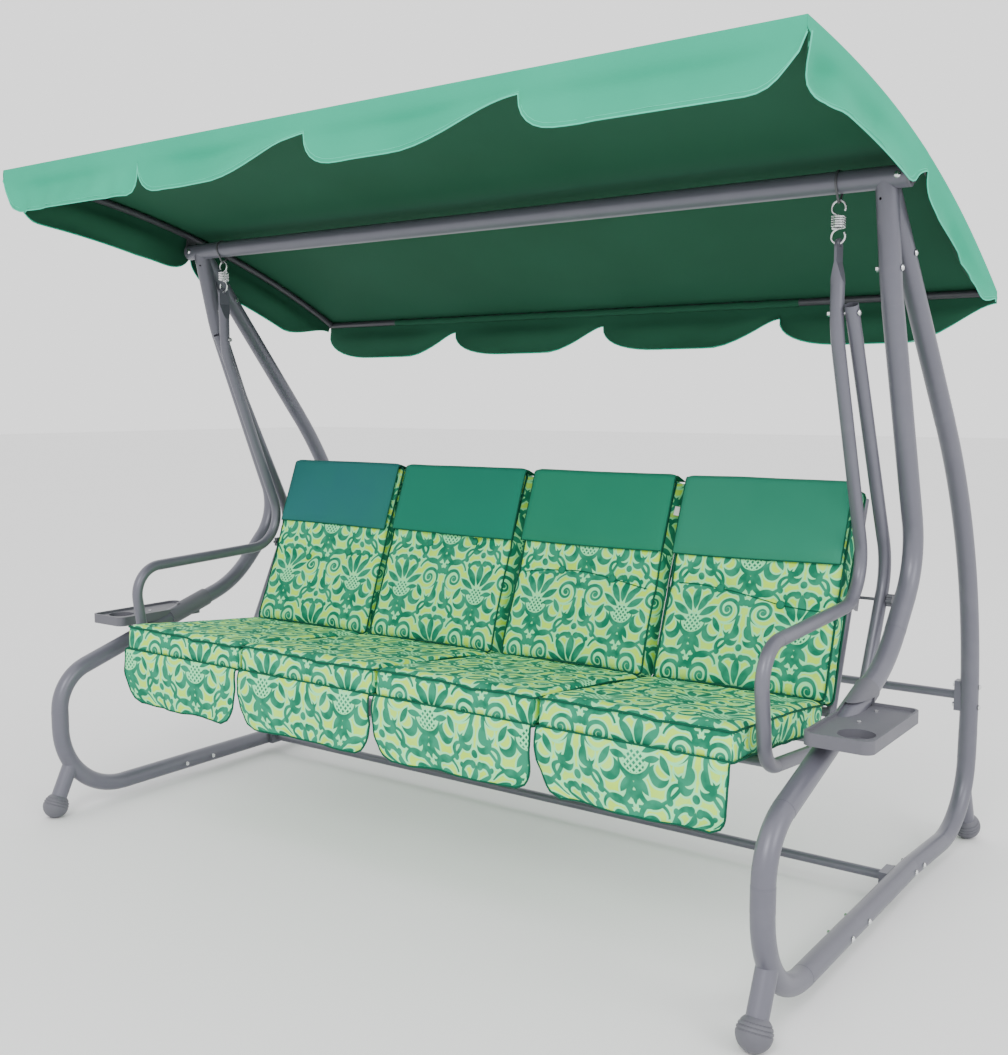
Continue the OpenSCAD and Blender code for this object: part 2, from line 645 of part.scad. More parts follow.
// Arms that turn on the ends of the ridge bar and carry the side rails
module canopy_arms() color("dimgray") at_ridge()
    let (up = [0, ridge_z] - canopy_c, reach = rail_r - rail_d / 2 - norm(up))
        pair() translate([arm_x, 0, ridge_z]) rotate([atan2(up[1], up[0]) - 90, 0, 0]) difference() {
            union() {
                rotate([0, 90, 0]) cylinder(d = 36, h = arm_t);
                translate([0, -18, 0]) cube([arm_t, 36, reach - clear]);
            }
            translate([-5, 0, 0]) rotate([0, 90, 0]) cylinder(d = pivot_d + 2 * clear, h = arm_t + 10);
        }

// Scallops along a straight edge: n of them over a length, hanging from y = 0
module scallops(n, length) let (w = length / n, r = (w * w / 4 + pow(valance - notch, 2))
                                / (2 * (valance - notch))) {
    translate([0, -notch]) square([length, notch]);
    for (i = [0 : n - 1]) intersection() {
        translate([w * (i + 0.5), r - valance]) circle(r, $fn = 96);
        translate([w * i, -valance]) square([w, valance]);
    }
}
module end_valance(y, z) translate([-canopy_half, y, z]) rotate([90, 0, 0])
    translate([0, 0, -cloth]) linear_extrude(cloth) scallops(4, 2 * canopy_half);

module canopy_arc2(depth) translate(canopy_c) difference() {
    circle(canopy_r, $fn = 360);
    circle(canopy_r - depth, $fn = 360);
}
side_w = (canopy_rear[0] - canopy_front[0]) / 3;
side_r = (side_w * side_w / 4 + pow(valance - notch, 2)) / (2 * (valance - notch));

module canopy_fabric() color("mediumseagreen") at_ridge() {
    // Curved top sheet
    yz_slab(-canopy_half, 2 * canopy_half) intersection() {
        canopy_arc2(cloth);
        translate([canopy_front[0], 1400]) square([canopy_rear[0] - canopy_front[0], 600]);
    }
    // Side valances
    for (x = [-canopy_half, canopy_half - cloth]) yz_slab(x, cloth) {
        intersection() {
            canopy_arc2(notch);
            translate([canopy_front[0], 1400]) square([canopy_rear[0] - canopy_front[0], 600]);
        }
        for (i = [0 : 2]) let (a = arc_a(canopy_r, canopy_front[0] + side_w * (i + 0.5))) intersection() {
            translate(canopy_c) circle(canopy_r - cloth, $fn = 360);
            translate(canopy_c + (canopy_r - valance + side_r) * [cos(a), sin(a)])
                circle(side_r, $fn = 96);
            translate([canopy_front[0], 1300]) square([canopy_rear[0] - canopy_front[0], 700]);
        }
    }
    end_valance(canopy_front[0], canopy_front[1] - 0.2);
    end_valance(canopy_rear[0] - cloth, canopy_rear[1]);
}

frame_front_left();
frame_front_right();
frame_rear_left();
frame_rear_right();
head_socket_left();
head_socket_right();
ridge_bar();
ridge_end_caps();
canopy_pivot_bolts();
foot_front_left();
foot_front_right();
foot_rear_left();
foot_rear_right();
lower_crossbar();
rear_crossbar();
joint_plugs();
frame_bolts();
tray_left();
tray_right();
tray_screws();
spring_hook_left();
spring_hook_right();
canopy_arms();
canopy_side_rails();
canopy_front_rail();
canopy_rear_rail();
canopy_fabric();
spring_left();
spring_right();
hanger_front_left();
hanger_front_right();
hanger_rear_left();
hanger_rear_right();
hanger_bolts();
seat_front_rail();
seat_rear_rail();
seat_straps();
seat_cushion_1();
seat_cushion_2();
seat_cushion_3();
seat_cushion_4();
seat_flap_1();
seat_flap_2();
seat_flap_3();
seat_flap_4();
backrest_frame();
backrest_straps();
backrest_hinge_pins();
back_cushion_1();
back_cushion_2();
back_cushion_3();
back_cushion_4();
headrest_1();
headrest_2();
headrest_3();
headrest_4();
knob_left();
knob_right();
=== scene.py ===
"""Visual model of the four-seat canopy swing bench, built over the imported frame.

Metres, +Z up, front at -Y.
"""
import json
import math

import bpy
import numpy as np
from mathutils import Matrix, Vector, noise


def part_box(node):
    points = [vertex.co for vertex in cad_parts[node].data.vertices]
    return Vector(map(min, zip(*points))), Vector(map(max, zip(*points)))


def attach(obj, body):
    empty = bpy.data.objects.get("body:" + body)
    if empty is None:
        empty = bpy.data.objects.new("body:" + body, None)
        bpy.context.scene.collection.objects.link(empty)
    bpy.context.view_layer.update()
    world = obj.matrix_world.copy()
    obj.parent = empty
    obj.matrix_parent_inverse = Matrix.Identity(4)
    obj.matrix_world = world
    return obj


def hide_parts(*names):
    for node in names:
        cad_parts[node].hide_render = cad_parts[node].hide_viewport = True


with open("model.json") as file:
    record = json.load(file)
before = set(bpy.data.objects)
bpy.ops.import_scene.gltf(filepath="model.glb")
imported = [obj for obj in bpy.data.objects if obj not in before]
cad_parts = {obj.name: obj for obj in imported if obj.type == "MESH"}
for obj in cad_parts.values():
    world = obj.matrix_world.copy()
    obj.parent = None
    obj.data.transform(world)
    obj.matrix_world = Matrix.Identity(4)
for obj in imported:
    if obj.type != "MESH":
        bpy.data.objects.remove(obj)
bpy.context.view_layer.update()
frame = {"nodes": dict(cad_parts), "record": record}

scene = bpy.context.scene
record = frame["record"]

# ---- Sizes, as in the CAD source ----
RIDGE_Y = -0.093
PLACE_W = 0.495
SEAT_SLOPE = math.radians(5.65)
BACK_LEAN = math.radians(20.8)
SEAT_PAD = (PLACE_W - 0.001, 0.525, 0.079)
BACK_PAD = (PLACE_W - 0.001, 0.544, 0.065)
CANOPY_FRONT = (-0.650 + RIDGE_Y, 1.900)
CANOPY_REAR = (0.685 + RIDGE_Y, 1.532)
CANOPY_R = 3.430
VALANCE = 0.125
NOTCH = 0.048
CORNER_NOTCH = 0.030
ROUND = 2.4  # 2 makes the round ends of the lobes circular, more makes them squarer
SHORT_FALL = 0.2  # a lobe that ends more abruptly than this ends in a round corner
CLOTH_T = 0.0016
SEAT_TILT = Matrix.Rotation(-SEAT_SLOPE, 4, "X")
BACK_TILT = Matrix.Rotation(-BACK_LEAN, 4, "X")


def centre(node):
    lo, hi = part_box(node)
    return (Vector(lo) + Vector(hi)) / 2


def smooth(t):
    t = min(max(t, 0.0), 1.0)
    return t * t * (3 - 2 * t)


# ---- Shader expressions ----
class E:
    """A value in a node tree that Python operators build on."""

    def __init__(self, tree, socket):
        self.tree, self.socket = tree, socket

    def op(self, operation, *others):
        node = self.tree.nodes.new("ShaderNodeMath")
        node.operation = operation
        for i, v in enumerate((self, *others)):
            if isinstance(v, E):
                self.tree.links.new(v.socket, node.inputs[i])
            else:
                node.inputs[i].default_value = v
        return E(self.tree, node.outputs[0])

    def __add__(self, o):
        return self.op("ADD", o)

    def __sub__(self, o):
        return self.op("SUBTRACT", o)

    def __mul__(self, o):
        return self.op("MULTIPLY", o)

    def __truediv__(self, o):
        return self.op("DIVIDE", o)

    def __abs__(self):
        return self.op("ABSOLUTE")

    def min(self, o):
        return self.op("MINIMUM", o)

    def max(self, o):
        return self.op("MAXIMUM", o)


def hypot(a, b):
    return (a * a + b * b).op("SQRT")


# ---- The printed pattern: an invented ornament in millimetres, mirrored about u = 0 ----
PATTERN_W, PATTERN_H = 300.0, 360.0
PETALS = [  # from, to, half width
    ((0, 22), (0, 92), 12),
    ((9, 18), (44, 74), 11),
    ((16, 8), (70, 40), 10),
    ((22, -6), (62, 2), 8),
    ((6, -40), (34, -78), 9),
    ((0, -72), (0, -100), 6),
    ((86, -30), (62, 10), 9),
]
CRESCENTS = [  # disc, then the disc cut out of it
    ((58, -34), 25, (68, -22), 20),
    ((120, -20), 24, (112, -10), 19),
    ((28, 138), 21, (20, 150), 17),
    ((0, -12), 40, (0, 0), 37),
]
DISCS = [((0, 116), 10), ((48, 84), 7), ((0, -122), 10), ((148, 100), 10)]
# centre, radius, middle angle, half the angle it spans, half width at its start and at its end
SCROLLS = [
    ((52, -128), 40, 95, 78, 3.0, 8.0),
    ((104, 118), 36, -70, 75, 3.0, 8.5),
    ((128, -112), 24, 150, 85, 7.5, 2.8),
    ((46, 112), 22, 60, 95, 6.5, 2.6),
]
STEM = ((10, 22), 124, 5.0)  # centre, radius, half width
SPIRAL = ((100, 34), 34, 0.170)  # centre, outer radius, growth
LATTICE = ((0, -12), (27, 24), 10.5)  # centre of its oval, half axes, spacing of its lines
BULB = 1.35  # a scroll's bulb against its half width
DIAGONAL = 0.7071


def motif_distance(u, v):
    """Signed distance to the motif's outline in millimetres."""

    def disc(c, r):
        return hypot(u - c[0], v - c[1]) - r

    def petal(p, q, h):
        p, q = np.array(p, float), np.array(q, float)
        length = np.linalg.norm(q - p)
        r = (length * length / 4 + h * h) / (2 * h)
        n = np.array([p[1] - q[1], q[0] - p[0]]) / length * (r - h)
        m = (p + q) / 2
        return disc(m + n, r).max(disc(m - n, r))

    parts = [petal(*p) for p in PETALS]
    parts += [disc(c, r).max((disc(c2, r2)) * -1.0) for c, r, c2, r2 in CRESCENTS]
    parts += [disc(c, r) for c, r in DISCS]
    for (cx, cy), r, mid, span, w0, w1 in SCROLLS:
        mid, span = math.radians(mid), math.radians(span)
        du, dv = u - cx, v - cy
        ang = (dv.op("ARCTAN2", du) - mid).op("WRAP", math.pi, -math.pi)
        body = abs(hypot(du, dv) - r) - (ang * ((w1 - w0) / (2 * span)) + (w0 + w1) / 2)
        parts.append(body.max((abs(ang) - span) * r))
        end, bulb = (mid + span, w1) if w1 > w0 else (mid - span, w0)
        parts.append(disc((cx + r * math.cos(end), cy + r * math.sin(end)), bulb * BULB))
    (cx, cy), r, w = STEM
    ring = abs(hypot(u - cx, v - cy) - r) - ((v - cy) * 0.022 + (w + 1.5))
    parts.append(ring.max(v - 22.0).max((u - 6.0) * -1.0))
    (cx, cy), r, b = SPIRAL
    du, dv = u - cx, v - cy
    rho = hypot(du, dv).max(0.5)
    turn = (rho / r).op("LOGARITHM", math.e) * (-1 / b) - dv.op("ARCTAN2", du)
    turn = turn.op("WRAP", math.pi, -math.pi)
    parts.append((abs(turn) * rho * b - (rho * 0.12 + 2.4)).max(rho - (r + 2.0)))
    (cx, cy), (rx, ry), step = LATTICE
    oval = (hypot((u - cx) / rx, (v - cy) / ry) - 1.0) * min(rx, ry)
    lines = None
    for s in (1.0, -1.0):
        k = ((u + v * s) * DIAGONAL).op("WRAP", step / 2, -step / 2)
        k = abs(k) - (step / 2 - 1.8)
        lines = k if lines is None else lines.max(k)
    parts.append(oval.max(lines))
    d = parts[0]
    for p in parts[1:]:
        d = d.min(p)
    return d


def damask_group():
    """The motif on a plain repeat, which the damask lays twice for a half-drop. Takes U and V in millimetres
    and gives the distance in millimetres.
    """
    g = bpy.data.node_groups.new("Motif", "ShaderNodeTree")
    for n in ("U", "V"):
        g.interface.new_socket(n, in_out="INPUT", socket_type="NodeSocketFloat")
    g.interface.new_socket("Distance", in_out="OUTPUT", socket_type="NodeSocketFloat")
    gi, go = g.nodes.new("NodeGroupInput"), g.nodes.new("NodeGroupOutput")
    u, v = E(g, gi.outputs["U"]), E(g, gi.outputs["V"])
    u = abs(u.op("WRAP", PATTERN_W / 2, -PATTERN_W / 2))
    v = v.op("WRAP", PATTERN_H / 2, -PATTERN_H / 2)
    g.links.new(motif_distance(u, v).socket, go.inputs["Distance"])
    return g


MOTIF = damask_group()


def mix(tree, fac, a, b):
    node = tree.nodes.new("ShaderNodeMix")
    node.data_type = "RGBA"
    for key, kind, v in (("Factor", "VALUE", fac), ("A", "RGBA", a), ("B", "RGBA", b)):
        sock = next(s for s in node.inputs if s.name == key and s.type == kind)
        if isinstance(v, E):
            tree.links.new(v.socket, sock)
        elif hasattr(v, "is_linked"):
            tree.links.new(v, sock)
        else:
            sock.default_value = (*v, 1.0) if key != "Factor" else v
    return next(s for s in node.outputs if s.type == "RGBA")


def noise_at(tree, coords, scale, detail=3.0, rough=0.5):
    n = tree.nodes.new("ShaderNodeTexNoise")
    n.inputs["Scale"].default_value = scale
    n.inputs["Detail"].default_value = detail
    n.inputs["Roughness"].default_value = rough
    tree.links.new(coords, n.inputs["Vector"])
    return E(tree, n.outputs[0])


def new_material(name, rough, metal=0.0, gloss=0.5):
    m = bpy.data.materials.new(name)
    m.use_nodes = True
    t = m.node_tree
    bsdf = t.nodes["Principled BSDF"]
    bsdf.inputs["Roughness"].default_value = rough
    bsdf.inputs["Metallic"].default_value = metal
    bsdf.inputs["Specular IOR Level"].default_value = gloss
    return m, t, bsdf


def bump(t, bsdf, height, strength, distance):
    b = t.nodes.new("ShaderNodeBump")
    b.inputs["Strength"].default_value = strength
    b.inputs["Distance"].default_value = distance
    t.links.new(height.socket, b.inputs["Height"])
    t.links.new(b.outputs["Normal"], bsdf.inputs["Normal"])


def uv_pair(t):
    """The UV socket, and its U and V as expressions."""
    n = t.nodes.new("ShaderNodeUVMap")
    n.uv_map = "UVMap"
    s = t.nodes.new("ShaderNodeSeparateXYZ")
    t.links.new(n.outputs[0], s.inputs[0])
    return n.outputs[0], E(t, s.outputs[0]), E(t, s.outputs[1])


def weave(t, u, v, pitch):
    """Over-and-under threads of a plain weave."""
    k = 2 * math.pi / pitch
    return abs((u * k).op("SINE") * (v * k).op("SINE"))


THREAD_PITCH = 0.0014
GREEN_INK = (0.026, 0.260, 0.145)
DEEP_INK = (0.010, 0.165, 0.088)
PALE_INK = (0.26, 0.86, 0.40)
GROUND = (0.50, 0.82, 0.065)
GROUND_PALE = (0.46, 0.86, 0.20)


def damask_material():
    m, t, bsdf = new_material("DamaskFabric", rough=0.85, gloss=0.12)
    coords, u, v = uv_pair(t)
    wob = noise_at(t, coords, 14.0, 2.0)
    u1, v1 = u * 1000.0 + (wob - 0.5) * 9.0, v * 1000.0 + (wob - 0.5) * 7.0
    d = None
    for du, dv in ((0.0, 0.0), (PATTERN_W / 2, PATTERN_H / 2)):
        n = t.nodes.new("ShaderNodeGroup")
        n.node_tree = MOTIF
        t.links.new((u1 + du).socket, n.inputs["U"])
        t.links.new((v1 + dv).socket, n.inputs["V"])
        e = E(t, n.outputs[0])
        d = e if d is None else d.min(e)
    outline = (abs(d - 1.6) * -1.0 + 3.4).op("MULTIPLY", 0.6).max(0.0).min(1.0)
    inside = (d * -0.9 + 0.2).max(0.0).min(1.0)
    shade = ((noise_at(t, coords, 22.0, 2.0) - 0.42) * 5.0).max(0.0).min(1.0)
    blotch = ((noise_at(t, coords, 7.0, 3.0) - 0.4) * 2.2).max(0.0).min(1.0)
    ground = mix(t, blotch, GROUND, GROUND_PALE)
    ink = mix(t, shade, GREEN_INK, DEEP_INK)
    c = mix(t, outline, ground, PALE_INK)
    c = mix(t, inside, c, ink)
    t.links.new(c, bsdf.inputs["Base Color"])
    thread = weave(t, u, v, THREAD_PITCH)
    t.links.new((thread * 0.08 + 0.80).socket, bsdf.inputs["Roughness"])
    bump(t, bsdf, thread, 0.25, 0.0004)
    return m


def cloth_material(name, colour, other, pitch=0.0012, blotch=3.0):
    """Plain woven cloth in a colour that fades unevenly into another, with painted shade in the hollows of
    the weave.
    """
    m, t, bsdf = new_material(name, rough=0.8, gloss=0.1)
    coords, u, v = uv_pair(t)
    fade = ((noise_at(t, coords, blotch, 3.0) - 0.35) * 2.4).max(0.0).min(1.0)
    thread = weave(t, u, v, pitch)
    base = mix(t, fade, colour, other)
    # painted shade: where the threads dip, the colour mixes up to a quarter of the way towards a 14 % darker
    # copy
    dark = tuple(0.86 * c for c in colour)
    t.links.new(mix(t, (thread * -0.35 + 0.25).max(0.0), base, dark), bsdf.inputs["Base Color"])
    t.links.new((thread * 0.08 + 0.76).socket, bsdf.inputs["Roughness"])
    bump(t, bsdf, thread, 0.25, 0.0004)
    return m


def hard_material(name, colour, worn, rough, metal, grain=900.0, depth=0.00015):
    """Paint, plastic or metal: fine grain, uneven gloss and lighter rubbed spots."""
    m, t, bsdf = new_material(name, rough=rough, metal=metal)
    tc = t.nodes.new("ShaderNodeTexCoord").outputs["Object"]
    fine = noise_at(t, tc, grain, 2.0)
    slow = noise_at(t, tc, 9.0, 4.0, 0.6)
    spots = ((slow - 0.52) * 4.0).max(0.0).min(1.0)
    t.links.new(mix(t, spots * 0.5 + fine * 0.15, colour, worn), bsdf.inputs["Base Color"])
    t.links.new((slow * 0.16 + fine * 0.06 + (rough - 0.11)).socket, bsdf.inputs["Roughness"])
    bump(t, bsdf, fine, 0.5, depth)
    return m


GREY, GREY_WORN = (0.125, 0.125, 0.155), (0.155, 0.155, 0.185)
PLASTIC, PLASTIC_WORN = (0.105, 0.105, 0.125), (0.13, 0.13, 0.15)
MATERIALS = {
    "powder_coat": hard_material("PowderCoat", GREY, GREY_WORN, 0.36, 0.25),
    "grey_plastic": hard_material("GreyPlastic", PLASTIC, PLASTIC_WORN, 0.52, 0.0, 1400.0, 0.0003),
    "zinc": hard_material("Zinc", (0.72, 0.73, 0.74), (0.60, 0.61, 0.62), 0.24, 0.95, 600.0, 0.00008),
    "dark_steel": hard_material("DarkSteel", (0.085, 0.085, 0.095), (0.14, 0.14, 0.15), 0.45, 0.4),
    "damask_fabric": damask_material(),
    "green_fabric": cloth_material("GreenFabric", (0.016, 0.185, 0.108), (0.020, 0.205, 0.120)),
    "canopy_fabric": cloth_material("CanopyTop", (0.016, 0.365, 0.220), (0.024, 0.410, 0.250)),
}
HEAD_TINTS = [
    cloth_material("HeadFabric2", (0.013, 0.170, 0.110), (0.016, 0.185, 0.118)),
    MATERIALS["green_fabric"],
    cloth_material("HeadFabric4", (0.024, 0.205, 0.125), (0.030, 0.225, 0.140)),
]
TEAL = cloth_material("TealFabric", (0.022, 0.135, 0.140), (0.018, 0.165, 0.125))
# painted shade: the inside of the canopy sheet and the rail sleeve get a far darker green than its top,
# standing in for the shade under the canopy
SHADED_UNDERSIDE = cloth_material("CanopyUndersideShade", (0.017, 0.082, 0.046), (0.020, 0.092, 0.053))
PIPING = cloth_material("Piping", (0.006, 0.075, 0.042), (0.010, 0.110, 0.064), pitch=0.001, blotch=30.0)
HEM = cloth_material("CanopyHem", (0.07, 0.60, 0.40), (0.06, 0.54, 0.36))
TAG = cloth_material("BlankTag", (0.80, 0.80, 0.78), (0.86, 0.86, 0.84), pitch=0.0008)

for s in record["subparts"]:
    o = frame["nodes"][s["node"]]
    o.data.materials.clear()
    o.data.materials.append(MATERIALS[s["material_slot"]])

# the rails sit in the shade of the fabric
SHADED_RAIL = hard_material("ShadedRail", (0.050, 0.050, 0.060), (0.075, 0.075, 0.085), 0.40, 0.25)
for name in ("canopy_front_rail", "canopy_rear_rail", "canopy_side_rails"):
    frame["nodes"][name].data.materials[0] = SHADED_RAIL


# ---- Mesh helpers ----
def mesh_object(name, verts, faces, material, uvs):
    """uvs holds one (u, v) for each corner of each face."""
    me = bpy.data.meshes.new(name)
    me.from_pydata([tuple(v) for v in verts], [], faces)
    layer = me.uv_layers.new(name="UVMap")
    layer.data.foreach_set("uv", np.array([c for f in uvs for c in f], np.float32).ravel())
    for p in me.polygons:
        p.use_smooth = True
    o = bpy.data.objects.new(name, me)
    scene.collection.objects.link(o)
    for m in material if isinstance(material, list) else [material]:
        me.materials.append(m)
    return o


def subdivided(o):
    mod = o.modifiers.new("Subdivision", "SUBSURF")
    mod.levels = mod.render_levels = 1


def tube(name, loops, radius, material, body, cyclic=True):
    """Round piping along one or more point loops."""
    cu = bpy.data.curves.new(name, "CURVE")
    cu.dimensions = "3D"
    cu.bevel_depth = radius
    cu.bevel_resolution = 2
    cu.resolution_u = 2
    for pts in loops:
        sp = cu.splines.new("POLY")
        sp.points.add(len(pts) - 1)
        sp.points.foreach_set("co", np.array([(*p, 1.0) for p in pts], np.float32).ravel())
        sp.use_cyclic_u = cyclic
        sp.use_smooth = True
    cu.materials.append(material)
    o = bpy.data.objects.new(name, cu)
    scene.collection.objects.link(o)
    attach(o, body)
    return o


# ---- Boxed cushions ----
CELL = 0.0125  # side of a grid cell
LAYERS = 4  # cells through the thickness
CORNER_R = 0.016
PULL_IN = 0.005  # how far the sides pull in between the corners
SHRINK = (0.002, 0.002, 0.008)  # how far the pads start inside their solids before they swell
TAPERS = ((0.0, 0.003), (0.003, 0.013), (0.013, 0.013), (0.013, 0.004))  # left, right, per back cushion
PRESSURE, FRAMES = 4.0, 20
SIDE_CAP = 0.003  # furthest that the simulation may move a point along the pad
SEAT_SWELL, BACK_SWELL, QUICK_SWELL = 0.013, 0.012, 0.010
LUMP, PUCKER, DRIFT = 0.0028, 0.0011, 0.0012
PIPING_R, PIPING_OUT = 0.0028, 0.0010
END_FROM, END_WIDTH = 0.42, 0.08  # the zone at a pad's ends that its stretch moves, in pad lengths
BACK_STRETCH = 0.008  # down to meet the seat


def rim_of(nx, ny):
    """Grid keys round the edge of an nx by ny grid, in order."""
    keys = [(i, 0) for i in range(nx)] + [(nx, j) for j in range(ny)]
    return keys + [(i, ny) for i in range(nx, 0, -1)] + [(0, j) for j in range(ny, 0, -1)]


def pad_point(a, b, c, size, taper):
    """A pad's point at a, b from -1 to 1 across and along it, and c from 0 to 1 through it."""
    w, l, h = size
    x, y, z = a * w / 2, b * l / 2, (c - 0.5) * h
    # round corners in plan, and sides that pull in between them
    corner = [max(abs(k) * s / 2 - (s / 2 - CORNER_R), 0) for k, s in ((a, w), (b, l))]
    r = math.hypot(*corner)
    if r > CORNER_R:
        x -= math.copysign(corner[0] * (1 - CORNER_R / r), a)
        y -= math.copysign(corner[1] * (1 - CORNER_R / r), b)
    x -= PULL_IN * a * abs(a) ** 3 * (1 - b * b)
    y -= PULL_IN * b * abs(b) ** 3 * (1 - a * a)
    # the front seam stands in from the sides, so that the gussets show between neighbours
    x -= taper[0 if a < 0 else 1] * a * c**2
    return x, y, z


class Pad:
    """A boxed cushion on a structured grid, so that its seams stay known after the simulation.

    Local X, Y and Z are its width, length and thickness.
    """

    def __init__(self, name, solid, place, uv_shift, taper=(0.0, 0.0)):
        size = [a - 2 * b for a, b in zip(solid, SHRINK)]
        w, l, h = size
        nx, ny, nz = round(w / CELL), round(l / CELL), LAYERS
        verts, index, faces, uvs = [], {}, [], []

        def at(i, j, k):
            if (i, j, k) not in index:
                index[i, j, k] = len(verts)
                verts.append(pad_point(2 * i / nx - 1, 2 * j / ny - 1, k / nz, size, taper))
            return index[i, j, k]

        def face(ids, coords):
            faces.append(ids)
            uvs.append([(c[0] + uv_shift[0], c[1] + uv_shift[1]) for c in coords])

        for i in range(nx):
            for j in range(ny):
                c = [(i, j), (i + 1, j), (i + 1, j + 1), (i, j + 1)]
                uv = [((p / nx - 0.5) * w, (q / ny) * l) for p, q in c]
                face([at(p, q, nz) for p, q in c], uv)
                face([at(p, q, 0) for p, q in reversed(c)], uv[::-1])
        for k in range(nz):
            z0, z1 = k / nz * h, (k + 1) / nz * h
            for i in range(nx):
                x0, x1 = (i / nx - 0.5) * w, ((i + 1) / nx - 0.5) * w
                ids = [at(i, 0, k), at(i + 1, 0, k), at(i + 1, 0, k + 1), at(i, 0, k + 1)]
                face(ids, [(x0, z0 - h), (x1, z0 - h), (x1, z1 - h), (x0, z1 - h)])
                v0, v1 = l + h - z0, l + h - z1
                ids = [at(i + 1, ny, k), at(i, ny, k), at(i, ny, k + 1), at(i + 1, ny, k + 1)]
                face(ids, [(x1, v0), (x0, v0), (x0, v1), (x1, v1)])
            u0, u1 = w / 2 + h - z0, w / 2 + h - z1
            for j in range(ny):
                y0, y1 = j / ny * l, (j + 1) / ny * l
                ids = [at(nx, j, k), at(nx, j + 1, k), at(nx, j + 1, k + 1), at(nx, j, k + 1)]
                face(ids, [(u0, y0), (u0, y1), (u1, y1), (u1, y0)])
                ids = [at(0, j + 1, k), at(0, j, k), at(0, j, k + 1), at(0, j + 1, k + 1)]
                face(ids, [(-u0, y1), (-u0, y0), (-u1, y0), (-u1, y1)])
        self.seams = [[at(i, j, k) for i, j in rim_of(nx, ny)] for k in (0, nz)]
        self.size, self.solid, self.place, self.rest = size, solid, place, np.array(verts)
        self.front = {key[:2]: n for key, n in index.items() if key[2] == nz}
        self.cells = (nx, ny)
        self.obj = mesh_object(name, verts, faces, MATERIALS["damask_fabric"], uvs)

    def points(self):
        return np.array([v.co for v in self.obj.data.vertices])

    def set_points(self, co):
        self.obj.data.vertices.foreach_set("co", co.astype(np.float32).ravel())
        self.obj.data.update()


def simulate(pads):
    """Air pressure swells the pads, gravity off. Each keeps its result in swollen, and no Cloth is left."""
    for p in pads:
        cloth = p.obj.modifiers.new("Cloth", "CLOTH")
        s = cloth.settings
        s.quality = 5
        s.mass = 0.25
        s.tension_stiffness = s.compression_stiffness = 22
        s.shear_stiffness = 8
        s.bending_stiffness = 0.6
        s.use_pressure = True
        s.uniform_pressure_force = PRESSURE
        s.effector_weights.gravity = 0
        cloth.point_cache.frame_start, cloth.point_cache.frame_end = 1, FRAMES
    for f in range(1, FRAMES + 1):
        scene.frame_set(f)
    deps = bpy.context.evaluated_depsgraph_get()
    swollen = [np.array([v.co for v in p.obj.evaluated_get(deps).data.vertices]) for p in pads]
    for p, co in zip(pads, swollen):
        p.obj.modifiers.clear()
        p.swollen = co
    scene.frame_set(1)


def capped(p, swell):
    """The simulated swell, with no point moving further than swell in thickness or SIDE_CAP along the pad."""
    d = p.swollen - p.rest
    n = np.linalg.norm(d[:, :2], axis=1, keepdims=True)
    d[:, :2] *= np.minimum(1, SIDE_CAP / np.maximum(n, 1e-9))
    d[:, 2] = np.clip(d[:, 2], -swell, swell)
    return p.rest + d


def rumple(p, seed):
    """Uneven filling: broad low lumps, and small puckers along the seams."""
    co = p.points()
    w, l, h = p.size
    for i, c in enumerate(co):
        q = Vector((c[0] * 7, c[1] * 7, c[2] * 9 + seed * 5.3))
        fine = Vector((c[0] * 26, c[1] * 26, c[2] * 30 + seed * 3.1))
        edge = smooth((max(abs(c[0]) / w, abs(c[1]) / l) - 0.34) / 0.14)
        co[i, 2] += noise.noise(q) * LUMP + noise.noise(fine) * PUCKER * edge
        drift = np.array([noise.noise(q + Vector((9, 0, 0))), noise.noise(q + Vector((0, 9, 0)))])
        co[i, :2] += drift * DRIFT
    p.set_points(co)


def finish_pad(p, body, node, stretch=0.0):
    """Keeps the pad in its CAD solid's space and adds the piping on both seams."""
    co = p.points()
    l = p.size[1]
    co[:, 1] -= stretch * np.clip((-co[:, 1] / l - END_FROM) / END_WIDTH, 0, 1)
    co[:, 1] += stretch / 2 * np.clip((co[:, 1] / l - END_FROM) / END_WIDTH, 0, 1)
    half_w, half_h = PLACE_W / 2 - 0.0015, p.solid[2] / 2
    co[:, 0] = np.clip(co[:, 0], -half_w, half_w)
    co[:, 2] = np.clip(co[:, 2], -half_h + 0.0005, half_h + 0.004)
    p.set_points(co)
    p.obj.matrix_world = p.place
    subdivided(p.obj)
    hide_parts(node)
    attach(p.obj, body)
    loops = []
    for ids, up in zip(p.seams, (-1, 1)):
        pts = co[ids]
        mid = np.array([0, 0, pts[:, 2].mean()])
        out = (pts - mid) * [1, 1, 0]
        out /= np.linalg.norm(out, axis=1, keepdims=True)
        pts = pts + out * PIPING_OUT + [0, 0, up * PIPING_OUT]
        pts[:, 0] = np.clip(pts[:, 0], -PLACE_W / 2 + 0.0033, PLACE_W / 2 - 0.0033)
        loops.append([p.place @ Vector(q) for q in pts])
    tube(p.obj.name + "_piping", loops, PIPING_R, PIPING, body)


UPRIGHT = Matrix.Rotation(math.radians(90), 4, "X")
seat_pads, back_pads = [], []
for i in range(1, 5):
    place = Matrix.Translation(centre(f"seat_cushion_{i}")) @ SEAT_TILT
    shift = (0.07 * i, 0.09 + 0.18 * (i % 2))
    seat_pads.append(Pad(f"BenchCushion{i}", SEAT_PAD, place, shift))
    # local Z of the pad points out of the front of the backrest, local Y up it
    place = Matrix.Translation(centre(f"back_cushion_{i}")) @ BACK_TILT @ UPRIGHT
    shift = (0.15 * (i % 2), 0.02 + 0.18 * (i % 2))
    back_pads.append(Pad(f"BackCushion{i}", BACK_PAD, place, shift, TAPERS[i - 1]))

simulate(seat_pads + back_pads)
for p in seat_pads:
    p.set_points(capped(p, SEAT_SWELL))
for p in back_pads:
    p.set_points(capped(p, BACK_SWELL))

for n, p in enumerate(seat_pads + back_pads):
    rumple(p, n + 1)

